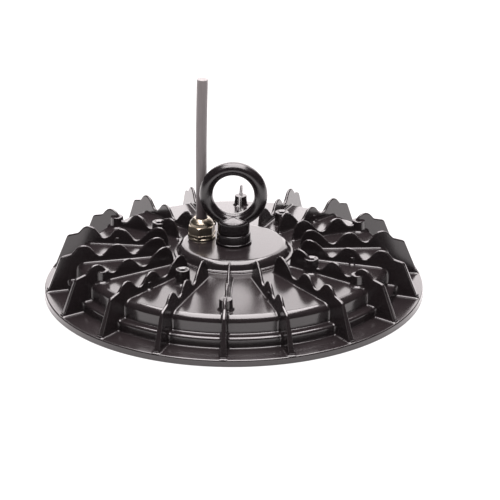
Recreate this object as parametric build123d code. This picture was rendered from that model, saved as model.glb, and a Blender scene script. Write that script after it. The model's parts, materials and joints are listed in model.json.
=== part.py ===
from build123d import *
import math
import os

# Round high bay light, in millimetres.
# The origin is the centre of the rim's underside; +Z points up to the lifting eye, and -Y is the front.
# An azimuth is counted in degrees from -Y towards +X. Radii are counted from the Z axis.

# Casting: outer form, from the rim inwards and up to the hub
rim_radius = 150.0
rim_side_height = 5.2
rim_draft = 1.4
rim_edge_round = 1.0
flange_width = 18.4
flange_rise = 1.6
flange_root_round = 1.2
ledge_draft = 1.4
ledge_height = 7.5
ledge_round = 2.3
ledge_width = 7.8
ledge_rise = 0.3
drum_draft = 0.6
drum_foot_round = 1.5
drum_height = 13.7
deck_edge_round = 4.8
deck_rise = 3.0
step_height = 1.1
step_draft = 0.5
step_round = 0.4
hub_margin = 5.3
hub_height = 8.0
hub_draft = 2.4
hub_foot_round = 1.4
hub_edge_round = 2.8
hub_gland_margin = 14.5

# Casting: walls and underside
wall = 3.0
hub_wall = 4.0
hub_hollow_round = 1.0
hub_hollow_foot_round = 0.8
rim_wall = 4.5
relief_wall = 3.0
relief_depth = 2.6
relief_draft = 0.5
relief_round = 0.6
seat_wall = 2.4
seat_width = 9.0
seat_z = 7.8
cavity_draft = 0.5
cavity_round = 2.5
rib_count = 18
rib_thickness = 2.4
rib_inner_radius = 61.0
earth_post_radius = 4.0
earth_post_height = 3.2

# Cooling fins: insets from the rim, heights from the deck's inner edge
fin_count = 18
fin_top_thickness = 2.3
fin_draft_angle = 2.0
fin_foot_inset = 2.1
fin_foot_sink = 0.4
fin_shoulder_inset = 13.6
fin_shoulder_height = 2.2
fin_shoulder_round = 3.5
fin_valley_inset = 22.8
fin_valley_height = 4.9
fin_valley_round = 3.0
fin_crest_inset = 31.7
fin_height = 11.1
fin_end_gap = 5.2
fin_last_crest = 13.2
fin_root_cover = 0.6
wave_pitch = 26.3
wave_flank_angle = 50.0
wave_crest_round = 8.0
wave_dip_round = 5.25

# Cast bosses, pads and nubs: heights from the deck's inner edge
boss_count = 4
boss_circle = 71.5
boss_azimuth = -30.0
boss_radius = 5.5
boss_height = 10.0
boss_hole_radius = 2.25
boss_hole_depth = 10.0
pad_inset = 14.0
side_pad_inset = 9.3
side_pad_azimuth = 60.0
pad_radius = 5.1
pad_height = 6.0
nub_count = 6
nub_azimuth = 20.0
nub_inset = 27.4
nub_radius = 2.4
nub_height = 4.0
cast_draft_angle = 1.5

# Eye bolt and what holds it
eye_ring_radius = 21.4
eye_ring_height = 31.2
eye_wire_radius = 5.3
eye_wire_depth = 6.0
eye_neck_radius = 12.6
eye_neck_height = 10.2
eye_neck_round = 2.5
eye_neck_foot_round = 0.6
eye_neck_top_radius = 6.0
eye_neck_overlap = 4.0
eye_shank_radius = 5.9
eye_shank_chamfer = 0.8
eye_shank_reach = 1.0
eye_hole_clearance = 0.4
spacer_radius = 13.4
spacer_height = 8.0
spacer_round = 1.2
eye_gasket_radius = 12.7
eye_gasket_thickness = 0.8
spring_washer_radius = 10.0
spring_washer_thickness = 2.4
spring_washer_gap = 2.0
eye_nut_across_flats = 18.0
eye_nut_height = 10.0
thread_clearance = 0.1

# Cable gland
gland_gap = 3.13
gland_azimuth = -110.4
gland_turn = 21.0
gland_across_flats = 19.0
gland_flange_radius = 9.3
gland_flange_height = 1.2
gland_body_height = 6.4
gland_thread_radius = 7.9
gland_thread_reach = 6.4
gland_bore_radius = 4.8
gland_neck_radius = 8.0
gland_neck_height = 3.6
gland_seal_bore_radius = 6.6
gland_seal_depth = 6.0
gland_seal_tip_radius = 5.1
o_ring_radius = 9.1
o_ring_thickness = 1.1
o_ring_round = 0.3
clamp_gap = 0.3
clamp_hex_height = 3.4
clamp_hex_round = 0.6
clamp_dome_height = 3.4
clamp_dome_round = 1.2
clamp_shoulder_radius = 7.5
clamp_shoulder_drop = 0.9
clamp_mouth_radius = 5.9
clamp_mouth_round = 0.5
clamp_bore_radius = 4.7
clamp_lip_height = 1.0
clamp_lip_slope = 0.4
lock_nut_across_flats = 19.0
lock_nut_height = 4.5
hex_corner_cut = 0.7

# Mains cable: the free end is cut off bare
cable_radius = 4.4
cable_route = [
    (-25.78, 9.59, 54.8),
    (-25.78, 9.59, 93.2),
    (-25.35, 9.59, 131.6),
    (-24.15, 9.59, 169.9),
]
sheath_setback = 1.0
core_count = 3
core_radius = 0.9
core_circle = 1.9

# Heat spreader, LED board and LEDs
base_plate_clearance = 1.2
base_plate_thickness = 3.0
base_screw_count = 6
base_boss_radius = 4.5
led_board_margin = 4.6
led_board_thickness = 1.6
led_ring_count = 4
led_first_ring_count = 6
led_inner_circle = 30.0
led_edge_margin = 9.0
led_size = 5.0
led_height = 0.7
led_gap = 1.9
board_screw_count = 6
board_screw_azimuth = 30.0

# Driver
driver_board_clearance = 4.0
driver_board_hole_radius = 14.0
driver_board_thickness = 1.6
driver_spacer_count = 4
driver_spacer_inset = 7.0
driver_spacer_azimuth = 45.0
driver_spacer_across_flats = 6.0
driver_spacer_height = 5.0
driver_inset = 13.0
driver_headroom = 2.4
capacitor_azimuths = [-20.0, 22.0, 64.0]
capacitor_radius = 6.0
capacitor_round = 0.8
transformer_azimuth = 113.0
bobbin_length = 18.0
bobbin_width = 14.0
bobbin_drop = 2.0
transformer_core_width = 8.0
transformer_core_depth = 20.0
choke_azimuth = 168.0
choke_radius = 7.5
choke_hole_radius = 3.0
choke_height = 6.5
choke_round = 1.2
terminal_length = 15.0
terminal_width = 9.0
terminal_gap = 2.0
led_lead_azimuth = 0.0
led_lead_spacing = 5.0
led_lead_radius = 1.0
led_lead_hole_radius = 5.0

# Protective earth
earth_inset = 9.0
earth_azimuth = -155.0
earth_tag_radius = 3.8
earth_tag_thickness = 0.8
earth_tag_tail = 7.0
earth_tag_width = 4.0

# Screws
small_screw_radius = 1.45
small_head_radius = 2.75
small_head_height = 1.6
large_screw_radius = 1.95
large_head_radius = 3.6
large_head_height = 2.2
head_round_share = 0.4
hole_clearance = 0.25
hole_run_out = 1.0
screw_depth = 5.0
driver_screw_depth = 3.5

# Cover on the underside
lens_gasket_thickness = 1.0
lens_edge_thickness = 2.2
lens_ring_thickness = 1.5
cover_clearance = 0.6
dome_radius = 7.2
dome_height = 2.4
lens_screw_count = 12
lens_screw_azimuth = 15.0
lens_screw_cover = 1.5

# Heights and radii of the casting
flange_inner_radius = rim_radius - flange_width
flange_inner_z = rim_side_height + flange_rise
ledge_radius = flange_inner_radius - ledge_draft
ledge_z = flange_inner_z + ledge_height
drum_radius = ledge_radius - ledge_width
deck_edge_z = ledge_z + drum_height
deck_inner_z = deck_edge_z + deck_rise
gland_circle = spacer_radius + gland_across_flats / math.sqrt(3) + gland_gap
hub_radius = gland_circle + hub_gland_margin
hub_z = deck_inner_z + hub_height
hub_underside_z = hub_z - hub_wall
hub_inside_radius = hub_radius - wall
deck_inner_radius = hub_radius + hub_margin
seat_radius = ledge_radius - seat_wall
seat_inner_radius = seat_radius - seat_width
fin_inner_radius = deck_inner_radius + fin_end_gap
fin_root_z = relief_depth + fin_root_cover
crest_z = deck_inner_z + fin_height
pad_circle = drum_radius - pad_inset
side_pad_circle = drum_radius - side_pad_inset
nub_circle = drum_radius - nub_inset
earth_circle = hub_inside_radius - earth_inset
earth_post_z = hub_underside_z - earth_post_height

# Heights and radii of the cover, the boards and the driver
lens_screw_circle = seat_radius - seat_width / 2
lens_screw_depth = ledge_z - seat_z - lens_screw_cover
lens_top_z = seat_z - lens_gasket_thickness
lens_bottom_z = lens_top_z - lens_edge_thickness
lens_ring_bottom_z = lens_bottom_z - lens_ring_thickness
led_board_bottom_z = lens_top_z + led_gap + led_height
base_plate_bottom_z = led_board_bottom_z + led_board_thickness
rib_bottom_z = base_plate_bottom_z + base_plate_thickness
base_plate_radius = seat_inner_radius - base_plate_clearance
led_board_radius = base_plate_radius - led_board_margin
led_ring_pitch = (led_board_radius - led_edge_margin - led_inner_circle) / (led_ring_count - 1)
board_screw_circle = led_inner_circle + 1.5 * led_ring_pitch
base_screw_circle = led_inner_circle + 2.5 * led_ring_pitch
driver_board_z = rib_bottom_z + driver_spacer_height
driver_top_z = driver_board_z + driver_board_thickness
driver_board_radius = rib_inner_radius - driver_board_clearance
driver_spacer_circle = driver_board_radius - driver_spacer_inset
driver_circle = hub_inside_radius - driver_inset
driver_part_height = hub_underside_z - driver_headroom - driver_top_z

# Heights of the eye bolt and the gland
spacer_bottom_z = hub_z + eye_gasket_thickness
collar_z = spacer_bottom_z + spacer_height
eye_ring_z = collar_z + eye_ring_height
eye_neck_top_z = eye_ring_z - eye_ring_radius + eye_neck_overlap
eye_nut_top_z = hub_underside_z - spring_washer_thickness
eye_nut_bottom_z = eye_nut_top_z - eye_nut_height
eye_shank_end_z = eye_nut_bottom_z - eye_shank_reach
eye_hole_radius = eye_shank_radius + eye_hole_clearance
gland_hole_radius = gland_thread_radius + hole_clearance
gland_thread_end_z = hub_underside_z - gland_thread_reach
gland_body_z = hub_z + o_ring_thickness
gland_hexagon_z = gland_body_z + gland_flange_height
gland_body_top_z = gland_hexagon_z + gland_body_height
gland_neck_top_z = gland_body_top_z + gland_neck_height
gland_seal_z = gland_neck_top_z - gland_seal_depth
clamp_z = gland_body_top_z + clamp_gap
clamp_hex_top_z = clamp_z + clamp_hex_height
clamp_top_z = clamp_hex_top_z + clamp_dome_height
clamp_lip_z = clamp_top_z - clamp_lip_height
cable_sheath_end_z = gland_thread_end_z + sheath_setback
terminal_height = gland_thread_end_z - terminal_gap - driver_top_z
small_hole_radius = small_screw_radius + hole_clearance
large_hole_radius = large_screw_radius + hole_clearance

UPRIGHT = (Align.CENTER, Align.CENTER, Align.MIN)


def at(radius, azimuth, z=0.0):
    """A place on a circle round the Z axis."""
    turn = math.radians(azimuth)
    return Vector(radius * math.sin(turn), -radius * math.cos(turn), z)


def around(count, first=0.0):
    """Azimuths of evenly spaced features."""
    return [first + i * 360.0 / count for i in range(count)]


def outline(corners):
    """Closed face in X and Z.

    A corner is a radius, a height and, where it is rounded, the round's radius.
    The last side runs straight from the last corner back to the first, and those two stay sharp.
    """
    points = [corner[:2] for corner in corners]
    rounds = [corner[2] if len(corner) > 2 else 0.0 for corner in corners[1:-1]]
    path = FilletPolyline(*points, radius=rounds)
    return Plane.XZ * make_face(Curve() + [path, Line(path @ 1, path @ 0)])


def turned(corners):
    """Solid of revolution round the Z axis."""
    return revolve(outline(corners), Axis.Z, 360)


def tube(outer_radius, inner_radius, low, high, top_round=0.0):
    """Ring with a rounded upper outer edge."""
    return turned([
        (inner_radius, low),
        (outer_radius, low),
        (outer_radius, high, top_round),
        (inner_radius, high),
    ])


def rod(radius, low, high, place=Vector(0, 0, 0)):
    """Upright cylinder between two heights."""
    return Pos(place.X, place.Y, low) * Cylinder(radius, high - low, align=UPRIGHT)


def cast_pin(top_radius, low, high, place):
    """Upright cast pin, wider at its foot by the draft."""
    foot_radius = top_radius + (high - low) * math.tan(math.radians(cast_draft_angle))
    return Pos(place.X, place.Y, low) * Cone(foot_radius, top_radius, high - low, align=UPRIGHT)


def hexagon(across_flats, low, high, turn=0.0):
    """Hexagonal prism round the Z axis."""
    face = Rot(0, 0, turn) * RegularPolygon(across_flats / 2, 6, major_radius=False)
    return Pos(0, 0, low) * extrude(face, high - low)


def chamfered_hexagon(across_flats, low, high, turn=0.0):
    """Hexagonal prism whose upper and lower corners are turned down to a cone."""
    corner = across_flats / math.sqrt(3)
    cone = turned([
        (0, low),
        (corner - hex_corner_cut, low),
        (corner, low + hex_corner_cut),
        (corner, high - hex_corner_cut),
        (corner - hex_corner_cut, high),
        (0, high),
    ])
    return hexagon(across_flats, low, high, turn) & cone


def round_plate(radius, low, high, holes):
    """Flat disc with round holes, each a radius and a place."""
    face = Circle(radius)
    for hole_radius, place in holes:
        face = face - Pos(place.X, place.Y) * Circle(hole_radius)
    return Pos(0, 0, low) * extrude(face, high - low)


def screw(shank_radius, head_radius, head_height, seat, depth, place):
    """Pan head screw, driven upwards: the head lies under the seat, the shank above it."""
    form = turned([
        (0, seat - head_height),
        (head_radius, seat - head_height, head_height * head_round_share),
        (head_radius, seat),
        (shank_radius, seat),
        (shank_radius, seat + depth),
        (0, seat + depth),
    ])
    return Pos(place.X, place.Y, 0) * form


def small_screw(seat, depth, place):
    """Screw of the smaller size."""
    return screw(small_screw_radius, small_head_radius, small_head_height, seat, depth, place)


def large_screw(seat, depth, place):
    """Screw of the larger size."""
    return screw(large_screw_radius, large_head_radius, large_head_height, seat, depth, place)


def joined(shapes):
    """All shapes fused."""
    first, *others = shapes
    return first.fuse(*others) if others else first


def casting_body():
    """The casting's outer form, filled down to the rim's underside."""
    return turned([
        (0, 0),
        (rim_radius, 0),
        (rim_radius - rim_draft, rim_side_height, rim_edge_round),
        (flange_inner_radius, flange_inner_z, flange_root_round),
        (ledge_radius, ledge_z, ledge_round),
        (drum_radius + drum_draft, ledge_z + ledge_rise, drum_foot_round),
        (drum_radius, deck_edge_z, deck_edge_round),
        (deck_inner_radius, deck_inner_z, step_round),
        (deck_inner_radius - step_draft, deck_inner_z + step_height, step_round),
        (hub_radius + hub_draft, deck_inner_z + step_height, hub_foot_round),
        (hub_radius, hub_z, hub_edge_round),
        (0, hub_z),
    ])


def fin_profile():
    """Side view of one fin: sloped outer edge, shoulder, wavy top, and a round end down to the deck."""
    flank = math.radians(wave_flank_angle)
    first_crest = rim_radius - fin_crest_inset
    span = first_crest - fin_inner_radius - fin_last_crest
    steps = max(1, round(span / wave_pitch))
    pitch = span / steps
    crest_corner_z = crest_z + wave_crest_round * (1 / math.cos(flank) - 1)
    dip_corner_z = crest_corner_z - pitch / 2 * math.tan(flank)
    corners = [
        (rim_radius - fin_foot_inset, rim_side_height - fin_foot_sink),
        (rim_radius - fin_shoulder_inset, deck_inner_z + fin_shoulder_height, fin_shoulder_round),
        (rim_radius - fin_valley_inset, deck_inner_z + fin_valley_height, fin_valley_round),
    ]
    for wave in range(steps):
        corners.append((first_crest - wave * pitch, crest_corner_z, wave_crest_round))
        corners.append((first_crest - (wave + 0.5) * pitch, dip_corner_z, wave_dip_round))
    run = corners[-1][0] - fin_inner_radius
    rise = crest_z - dip_corner_z
    end_round = (run * math.sin(flank) - rise * math.cos(flank)) / (1 + math.sin(flank) - math.cos(flank))
    corners.append((fin_inner_radius, dip_corner_z + run * math.tan(flank), end_round))
    corners.append((fin_inner_radius, fin_root_z))
    corners.append((rim_radius - fin_foot_inset, fin_root_z))
    return outline(corners)


def fin():
    """One cooling fin along +X, thinner towards its top by the draft."""
    top = fin_top_thickness / 2
    foot = top + (crest_z - fin_root_z) * math.tan(math.radians(fin_draft_angle))
    corners = [(-foot, fin_root_z), (foot, fin_root_z), (top, crest_z), (-top, crest_z)]
    section = Plane.YZ * make_face(Polyline(*corners, close=True))
    slab = extrude(fin_profile(), 2 * foot, both=True)
    return slab & extrude(section, rim_radius)


def casting_cavity():
    """What is hollow: the cover's recess, the drum's inside, the hub's inside and the rim's relief."""
    deck_slope = deck_rise / (drum_radius - deck_inner_radius)
    cavity_radius = seat_inner_radius - cavity_draft
    edge_z = deck_edge_z - wall
    inner_z = edge_z + (cavity_radius - hub_inside_radius - hub_draft) * deck_slope
    inside = turned([
        (0, 0),
        (seat_radius, 0),
        (seat_radius, seat_z),
        (seat_inner_radius, seat_z),
        (cavity_radius, edge_z, cavity_round),
        (hub_inside_radius + hub_draft, inner_z, hub_hollow_foot_round),
        (hub_inside_radius, hub_underside_z, hub_hollow_round),
        (0, hub_underside_z),
    ])
    outer = rim_radius - rim_wall
    inner = flange_inner_radius + relief_wall
    relief = turned([
        (outer, -hole_run_out),
        (outer - relief_draft, relief_depth, relief_round),
        (inner + relief_draft, relief_depth, relief_round),
        (inner, -hole_run_out),
    ])
    return [inside, relief]


def inner_ribs():
    """Ribs and screw bosses under the deck that carry the base plate, and the post of the earth screw."""
    reach = seat_inner_radius - rib_inner_radius + hole_run_out
    top_z = deck_edge_z - wall / 2
    ribs = []
    for azimuth in around(rib_count):
        rib = Box(reach, rib_thickness, top_z - rib_bottom_z, align=UPRIGHT)
        ribs.append(Rot(0, 0, azimuth - 90) * Pos(rib_inner_radius + reach / 2, 0, rib_bottom_z) * rib)
    for azimuth in around(base_screw_count):
        ribs.append(rod(base_boss_radius, rib_bottom_z, top_z, at(base_screw_circle, azimuth)))
    post_top_z = hub_underside_z + hub_wall / 2
    ribs.append(rod(earth_post_radius, earth_post_z, post_top_z, at(earth_circle, earth_azimuth)))
    return ribs


def casting_holes():
    """Drilled and tapped holes of the casting."""
    low = hub_underside_z - hole_run_out
    high = hub_z + hole_run_out
    holes = [rod(eye_hole_radius, low, high)]
    holes.append(rod(gland_hole_radius, low, high, gland_place()))
    boss_z = deck_inner_z + boss_height
    for azimuth in around(boss_count, boss_azimuth):
        place = at(boss_circle, azimuth)
        holes.append(rod(boss_hole_radius, boss_z - boss_hole_depth, boss_z + hole_run_out, place))
    for azimuth in around(base_screw_count):
        place = at(base_screw_circle, azimuth)
        depth = screw_depth + hole_run_out
        holes.append(rod(large_hole_radius, rib_bottom_z - hole_run_out, rib_bottom_z + depth, place))
    for azimuth in around(lens_screw_count, lens_screw_azimuth):
        place = at(lens_screw_circle, azimuth)
        holes.append(rod(small_hole_radius, seat_z - hole_run_out, seat_z + lens_screw_depth, place))
    place = at(earth_circle, earth_azimuth)
    holes.append(rod(large_hole_radius, earth_post_z - hole_run_out, earth_post_z + screw_depth, place))
    return holes


def pad_places():
    """A pad at the front and the back, and two a side, nearer to the drum's edge."""
    places = [at(pad_circle, azimuth) for azimuth in around(2)]
    for azimuth in (side_pad_azimuth, -side_pad_azimuth):
        places += [at(side_pad_circle, turned_azimuth) for turned_azimuth in around(2, azimuth)]
    return places


def heatsink_housing():
    """The whole casting."""
    solids = [casting_body()]
    one_fin = fin()
    for azimuth in around(fin_count):
        solids.append(Rot(0, 0, azimuth - 90) * one_fin)
    for azimuth in around(boss_count, boss_azimuth):
        top_z = deck_inner_z + boss_height
        solids.append(cast_pin(boss_radius, rib_bottom_z, top_z, at(boss_circle, azimuth)))
    for place in pad_places():
        solids.append(cast_pin(pad_radius, rib_bottom_z, deck_inner_z + pad_height, place))
    for azimuth in around(nub_count, nub_azimuth):
        solids.append(cast_pin(nub_radius, rib_bottom_z, deck_inner_z + nub_height, at(nub_circle, azimuth)))
    hollow = joined(solids).cut(*casting_cavity())
    return joined([hollow, *inner_ribs()]).cut(*casting_holes())


def eye_bolt():
    """Forged ring, deeper than it is wide in section, with a round neck and a shank through the hub."""
    lowest_section = Rot(0, 90, 0) * Pos(eye_ring_radius, 0) * Ellipse(eye_wire_radius, eye_wire_depth)
    ring = Pos(0, 0, eye_ring_z) * revolve(lowest_section, Axis.Y, 360)
    body = turned([
        (0, eye_shank_end_z),
        (eye_shank_radius - eye_shank_chamfer, eye_shank_end_z),
        (eye_shank_radius, eye_shank_end_z + eye_shank_chamfer),
        (eye_shank_radius, collar_z),
        (eye_neck_radius, collar_z, eye_neck_foot_round),
        (eye_neck_radius, collar_z + eye_neck_height, eye_neck_round),
        (eye_neck_top_radius, eye_neck_top_z),
        (0, eye_neck_top_z),
    ])
    return ring.fuse(body)


def eye_bolt_spacer():
    """Disc between the collar and the hub."""
    return tube(spacer_radius, eye_hole_radius, spacer_bottom_z, collar_z, spacer_round)


def eye_bolt_gasket():
    """Flat seal between the disc and the hub."""
    return tube(eye_gasket_radius, eye_hole_radius, hub_z, spacer_bottom_z)


def eye_bolt_spring_washer():
    """Split ring under the nut."""
    ring = tube(spring_washer_radius, eye_hole_radius, eye_nut_top_z, hub_underside_z)
    slot = Box(spring_washer_radius, spring_washer_gap, spring_washer_thickness, align=UPRIGHT)
    return ring - Pos(spring_washer_radius, 0, eye_nut_top_z) * slot


def eye_bolt_nut():
    """Hexagonal nut on the shank."""
    nut = chamfered_hexagon(eye_nut_across_flats, eye_nut_bottom_z, eye_nut_top_z)
    bore = rod(eye_shank_radius + thread_clearance, eye_nut_bottom_z, eye_nut_top_z)
    return nut - bore


def gland_place():
    """The gland's axis."""
    return at(gland_circle, gland_azimuth)


def gland_body():
    """Hexagon with a lower shank through the hub and an upper neck for the clamp nut."""
    flange = rod(gland_flange_radius, gland_body_z, gland_hexagon_z)
    body = chamfered_hexagon(gland_across_flats, gland_hexagon_z, gland_body_top_z, gland_turn)
    shank = rod(gland_thread_radius, gland_thread_end_z, gland_body_z)
    neck = rod(gland_neck_radius, gland_body_top_z, gland_neck_top_z)
    bore = rod(gland_bore_radius, gland_thread_end_z, gland_seal_z)
    seal_bore = rod(gland_seal_bore_radius, gland_seal_z, gland_neck_top_z)
    return Pos(gland_place()) * joined([flange, body, shank, neck]).cut(bore, seal_bore)


def gland_o_ring():
    """Seal between the gland and the hub."""
    return Pos(gland_place()) * tube(o_ring_radius, gland_hole_radius, hub_z, gland_body_z, o_ring_round)


def gland_seal_insert():
    """Rubber sleeve round the cable."""
    sleeve_radius = gland_seal_bore_radius - hole_clearance
    tip_z = clamp_lip_z - clamp_lip_slope - thread_clearance
    sleeve = turned([
        (cable_radius, gland_seal_z),
        (sleeve_radius, gland_seal_z),
        (sleeve_radius, gland_neck_top_z),
        (gland_seal_tip_radius, tip_z),
        (cable_radius, tip_z),
    ])
    return Pos(gland_place()) * sleeve


def gland_clamp_nut():
    """Domed hexagonal nut, open in the middle for the cable."""
    corner = gland_across_flats / math.sqrt(3)
    form = turned([
        (0, clamp_z),
        (corner - hex_corner_cut, clamp_z),
        (corner, clamp_z + hex_corner_cut),
        (corner, clamp_hex_top_z, clamp_hex_round),
        (gland_across_flats / 2, clamp_hex_top_z + clamp_hex_round, clamp_dome_round),
        (clamp_shoulder_radius, clamp_top_z - clamp_shoulder_drop),
        (clamp_mouth_radius, clamp_top_z, clamp_mouth_round),
        (0, clamp_top_z),
    ])
    nut = hexagon(gland_across_flats, clamp_z, clamp_top_z, gland_turn) & form
    thread_radius = gland_neck_radius + thread_clearance
    inside = turned([
        (0, clamp_z),
        (thread_radius, clamp_z),
        (thread_radius, gland_neck_top_z + clamp_gap),
        (gland_seal_tip_radius + clamp_gap, clamp_lip_z - clamp_lip_slope),
        (clamp_bore_radius, clamp_lip_z),
        (clamp_bore_radius, clamp_top_z),
        (0, clamp_top_z),
    ])
    return Pos(gland_place()) * (nut - inside)


def gland_lock_nut():
    """Flat nut inside the hub."""
    low = hub_underside_z - lock_nut_height
    nut = chamfered_hexagon(lock_nut_across_flats, low, hub_underside_z, gland_turn)
    bore = rod(gland_thread_radius + thread_clearance, low, hub_underside_z)
    return Pos(gland_place()) * (nut - bore)


def mains_cable():
    """The free cable: straight runs joined by wide arcs."""
    points = [Vector(*point) for point in cable_route]
    radii = []
    for before, corner, after in zip(points, points[1:], points[2:]):
        shorter = min((corner - before).length, (after - corner).length)
        half_turn = math.radians((corner - before).get_angle(after - corner)) / 2
        radii.append(0.45 * shorter / math.tan(half_turn))
    path = FilletPolyline(*points, radius=radii)
    start = Plane(origin=path @ 0, z_dir=path % 0)
    sheath = sweep(start * Circle(cable_radius), path=path)
    section = math.pi * cable_radius**2
    print("mains_cable radii", [round(r) for r in radii], "length", round(path.length, 2))
    print("mains_cable volume", round(sheath.volume), "section times length", round(section * path.length))
    return sheath


def mains_cable_inner():
    """The cable's stretch inside the gland."""
    return rod(cable_radius, cable_sheath_end_z, clamp_top_z, gland_place())


def mains_cores():
    """Three cores from the sheath's end to the terminal block."""
    low = driver_top_z + terminal_height
    cores = []
    for azimuth in around(core_count):
        cores.append(rod(core_radius, low, cable_sheath_end_z, gland_place() + at(core_circle, azimuth)))
    return Compound(children=cores)


def base_screw_places():
    """Where the base plate is screwed to the casting."""
    return [at(base_screw_circle, azimuth) for azimuth in around(base_screw_count)]


def board_screw_places():
    """Where the LED board is screwed to the base plate."""
    return [at(board_screw_circle, azimuth) for azimuth in around(board_screw_count, board_screw_azimuth)]


def driver_spacer_places():
    """Where the driver board stands on its spacers."""
    azimuths = around(driver_spacer_count, driver_spacer_azimuth)
    return [at(driver_spacer_circle, azimuth) for azimuth in azimuths]


def cover_screw_places():
    """Where the cover is screwed to the casting."""
    azimuths = around(lens_screw_count, lens_screw_azimuth)
    return [at(lens_screw_circle, azimuth) for azimuth in azimuths]


def led_places():
    """Centre and azimuth of every LED, ring by ring."""
    places = []
    for ring in range(led_ring_count):
        count = led_first_ring_count * (ring + 1)
        for azimuth in around(count, 180.0 / count):
            places.append((at(led_inner_circle + ring * led_ring_pitch, azimuth), azimuth))
    return places


def base_plate():
    """Aluminium heat spreader, screwed to the ribs."""
    holes = [(large_hole_radius, place) for place in base_screw_places()]
    holes += [(small_screw_radius, place) for place in board_screw_places()]
    holes += [(small_screw_radius, place) for place in driver_spacer_places()]
    holes.append((led_lead_hole_radius, at(driver_spacer_circle, led_lead_azimuth)))
    return round_plate(base_plate_radius, base_plate_bottom_z, rib_bottom_z, holes)


def base_plate_screws():
    """Screws that pull the base plate up to the casting."""
    depth = base_plate_thickness + screw_depth
    return Compound(children=[large_screw(base_plate_bottom_z, depth, place) for place in base_screw_places()])


def led_board():
    """Aluminium circuit board under the base plate."""
    holes = [(large_head_radius + hole_clearance, place) for place in base_screw_places()]
    holes += [(small_hole_radius, place) for place in board_screw_places()]
    return round_plate(led_board_radius, led_board_bottom_z, base_plate_bottom_z, holes)


def led_packages():
    """Square LED packages on the board's underside."""
    package = Box(led_size, led_size, led_height, align=(Align.CENTER, Align.CENTER, Align.MAX))
    packages = []
    for place, azimuth in led_places():
        packages.append(Pos(place.X, place.Y, led_board_bottom_z) * Rot(0, 0, azimuth) * package)
    return Compound(children=packages)


def board_screws():
    """Screws that hold the LED board to the base plate."""
    depth = led_board_thickness + base_plate_thickness
    return Compound(children=[small_screw(led_board_bottom_z, depth, place) for place in board_screw_places()])


def driver_board():
    """Ring-shaped circuit board of the driver."""
    holes = [(small_hole_radius, place) for place in driver_spacer_places()]
    holes.append((driver_board_hole_radius, Vector(0, 0, 0)))
    return round_plate(driver_board_radius, driver_board_z, driver_top_z, holes)


def driver_spacers():
    """Hexagonal spacers that carry the driver board."""
    spacer = hexagon(driver_spacer_across_flats, rib_bottom_z, driver_board_z)
    spacer = spacer - rod(small_hole_radius, rib_bottom_z, driver_board_z)
    return Compound(children=[Pos(place) * spacer for place in driver_spacer_places()])


def driver_screws():
    """Screws through the driver board into its spacers."""
    head = rod(small_head_radius, driver_top_z, driver_top_z + small_head_height)
    shank = rod(small_screw_radius, driver_board_z - driver_screw_depth, driver_top_z)
    form = head.fuse(shank)
    return Compound(children=[Pos(place) * form for place in driver_spacer_places()])


def driver_capacitors():
    """Electrolytic cans."""
    top_z = driver_top_z + driver_part_height
    can = turned([
        (0, driver_top_z),
        (capacitor_radius, driver_top_z),
        (capacitor_radius, top_z, capacitor_round),
        (0, top_z),
    ])
    return Compound(children=[Pos(at(driver_circle, azimuth)) * can for azimuth in capacitor_azimuths])


def driver_transformer():
    """Wound bobbin with its ferrite core round it."""
    bobbin = Box(bobbin_length, bobbin_width, driver_part_height - bobbin_drop, align=UPRIGHT)
    core = Box(transformer_core_width, transformer_core_depth, driver_part_height, align=UPRIGHT)
    whole = Rot(0, 0, transformer_azimuth) * bobbin.fuse(core)
    return Pos(at(driver_circle, transformer_azimuth, driver_top_z)) * whole


def driver_choke():
    """Ring core with its winding, lying on the board."""
    high = driver_top_z + choke_height
    ring = turned([
        (choke_hole_radius, driver_top_z),
        (choke_radius, driver_top_z, choke_round),
        (choke_radius, high, choke_round),
        (choke_hole_radius, high),
    ])
    return Pos(at(driver_circle, choke_azimuth)) * ring


def driver_terminal():
    """Terminal block right under the gland."""
    block = Box(terminal_length, terminal_width, terminal_height, align=UPRIGHT)
    return Pos(gland_place()) * Pos(0, 0, driver_top_z) * Rot(0, 0, gland_azimuth) * block


def led_leads():
    """Two stiff leads from the driver board through the base plate to the LED board."""
    middle = at(driver_spacer_circle, led_lead_azimuth)
    leads = []
    for side in (-0.5, 0.5):
        place = middle + Vector(side * led_lead_spacing, 0, 0)
        leads.append(rod(led_lead_radius, base_plate_bottom_z, driver_board_z, place))
    return Compound(children=leads)


def earth_tag():
    """Ring tongue under the earth screw."""
    tongue = Pos(earth_tag_tail / 2, 0) * Rectangle(earth_tag_tail, earth_tag_width)
    face = Circle(earth_tag_radius) + tongue - Circle(large_hole_radius)
    tag = Pos(0, 0, earth_post_z - earth_tag_thickness) * extrude(face, earth_tag_thickness)
    return Pos(at(earth_circle, earth_azimuth)) * Rot(0, 0, earth_azimuth) * tag


def earth_screw():
    """Screw that holds the earth tag to the casting."""
    depth = earth_tag_thickness + screw_depth - hole_run_out
    return large_screw(earth_post_z - earth_tag_thickness, depth, at(earth_circle, earth_azimuth))


def cover_ring(low, high):
    """Flat ring of the cover, with a hole for every cover screw."""
    face = Circle(seat_radius - cover_clearance) - Circle(seat_inner_radius + cover_clearance)
    for place in cover_screw_places():
        face = face - Pos(place.X, place.Y) * Circle(small_hole_radius)
    return Pos(0, 0, low) * extrude(face, high - low)


def lens_gasket():
    """Silicone seal on the casting's seat."""
    return cover_ring(lens_top_z, seat_z)


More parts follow.
